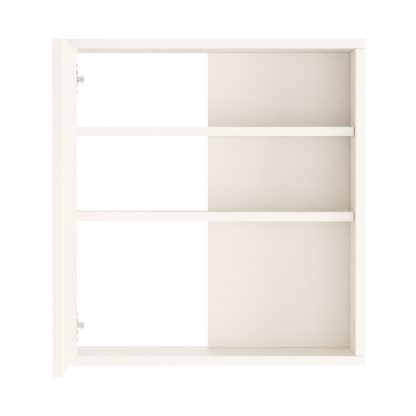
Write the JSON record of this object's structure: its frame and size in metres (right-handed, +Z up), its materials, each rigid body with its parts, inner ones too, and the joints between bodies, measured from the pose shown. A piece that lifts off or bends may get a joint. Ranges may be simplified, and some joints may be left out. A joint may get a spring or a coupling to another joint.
{
  "type": "hanging wall cabinet",
  "caption": "Wall cabinet with an inset side-hinged door on concealed cup hinges, adjustable shelves on pins, a half back board and keyhole hangers.",
  "frame": {"origin": "middle of the rear edge of the top panel, on the wall plane and at half the panel's thickness", "axes": "+X to the viewer's right along the wall, +Y into the wall, +Z up; the front faces -Y and the door stands open"},
  "size_m": [0.6, 0.86, 0.64],
  "materials": {
    "board": "warm white melamine-faced board, satin",
    "nickel": "nickel-plated steel, satin",
    "zinc_steel": "zinc-plated steel"
  },
  "bodies": {
    "carcass": {"back_board": "board", "back_screw_bottom_left": "zinc_steel", "back_screw_bottom_right": "zinc_steel", "back_screw_top_left": "zinc_steel", "back_screw_top_right": "zinc_steel", "bottom_panel": "board", "corner_screw_bottom_left_front": "zinc_steel", "corner_screw_bottom_left_rear": "zinc_steel", "corner_screw_bottom_right_front": "zinc_steel", "corner_screw_bottom_right_rear": "zinc_steel", "corner_screw_top_left_front": "zinc_steel", "corner_screw_top_left_rear": "zinc_steel", "corner_screw_top_right_front": "zinc_steel", "corner_screw_top_right_rear": "zinc_steel", "hanger_screw_left_bottom": "zinc_steel", "hanger_screw_left_top": "zinc_steel", "hanger_screw_right_bottom": "zinc_steel", "hanger_screw_right_top": "zinc_steel", "keyhole_hanger_left": "zinc_steel", "keyhole_hanger_right": "zinc_steel", "left_side_panel": "board", "lower_hinge_adjusting_screw": "zinc_steel", "lower_hinge_arm": "nickel", "lower_hinge_arm_pin": "zinc_steel", "lower_hinge_clamping_screw": "zinc_steel", "lower_hinge_plate": "zinc_steel", "lower_hinge_plate_screw_bottom": "zinc_steel", "lower_hinge_plate_screw_top": "zinc_steel", "lower_shelf": "board", "right_side_panel": "board", "shelf_pin_lower_left_front": "nickel", "shelf_pin_lower_left_rear": "nickel", "shelf_pin_lower_right_front": "nickel", "shelf_pin_lower_right_rear": "nickel", "shelf_pin_upper_left_front": "nickel", "shelf_pin_upper_left_rear": "nickel", "shelf_pin_upper_right_front": "nickel", "shelf_pin_upper_right_rear": "nickel", "top_panel": "board", "upper_hinge_adjusting_screw": "zinc_steel", "upper_hinge_arm": "nickel", "upper_hinge_arm_pin": "zinc_steel", "upper_hinge_clamping_screw": "zinc_steel", "upper_hinge_plate": "zinc_steel", "upper_hinge_plate_screw_bottom": "zinc_steel", "upper_hinge_plate_screw_top": "zinc_steel", "upper_shelf": "board"},
    "door": {"door_panel": "board", "lower_hinge_cup": "nickel", "lower_hinge_cup_screw_bottom": "zinc_steel", "lower_hinge_cup_screw_top": "zinc_steel", "lower_hinge_link_pin": "zinc_steel", "upper_hinge_cup": "nickel", "upper_hinge_cup_screw_bottom": "zinc_steel", "upper_hinge_cup_screw_top": "zinc_steel", "upper_hinge_link_pin": "zinc_steel"},
    "upper_hinge_link": {"upper_hinge_link": "nickel"},
    "lower_hinge_link": {"lower_hinge_link": "nickel"}
  },
  "joints": [
    {"name": "door_hinge", "type": "hinge", "parent": "carcass", "child": "door", "pos_m": [-0.281, -0.3, -0.3105], "axis": [0, 0, 1], "range_deg": [-10, 90]},
    {"name": "upper_link_pivot", "type": "hinge", "parent": "door", "child": "upper_hinge_link", "pos_m": [-0.2665, -0.3145, -0.0695], "axis": [0, 0, 1], "range_deg": [-128, 14.3]},
    {"name": "lower_link_pivot", "type": "hinge", "parent": "door", "child": "lower_hinge_link", "pos_m": [-0.2665, -0.3145, -0.5515], "axis": [0, 0, 1], "range_deg": [-128, 14.3]}
  ],
  "couplings": [
    {"joint": "upper_link_pivot", "follows": "door_hinge", "ratio": -1.4222},
    {"joint": "lower_link_pivot", "follows": "door_hinge", "ratio": -1.4222}
  ]
}
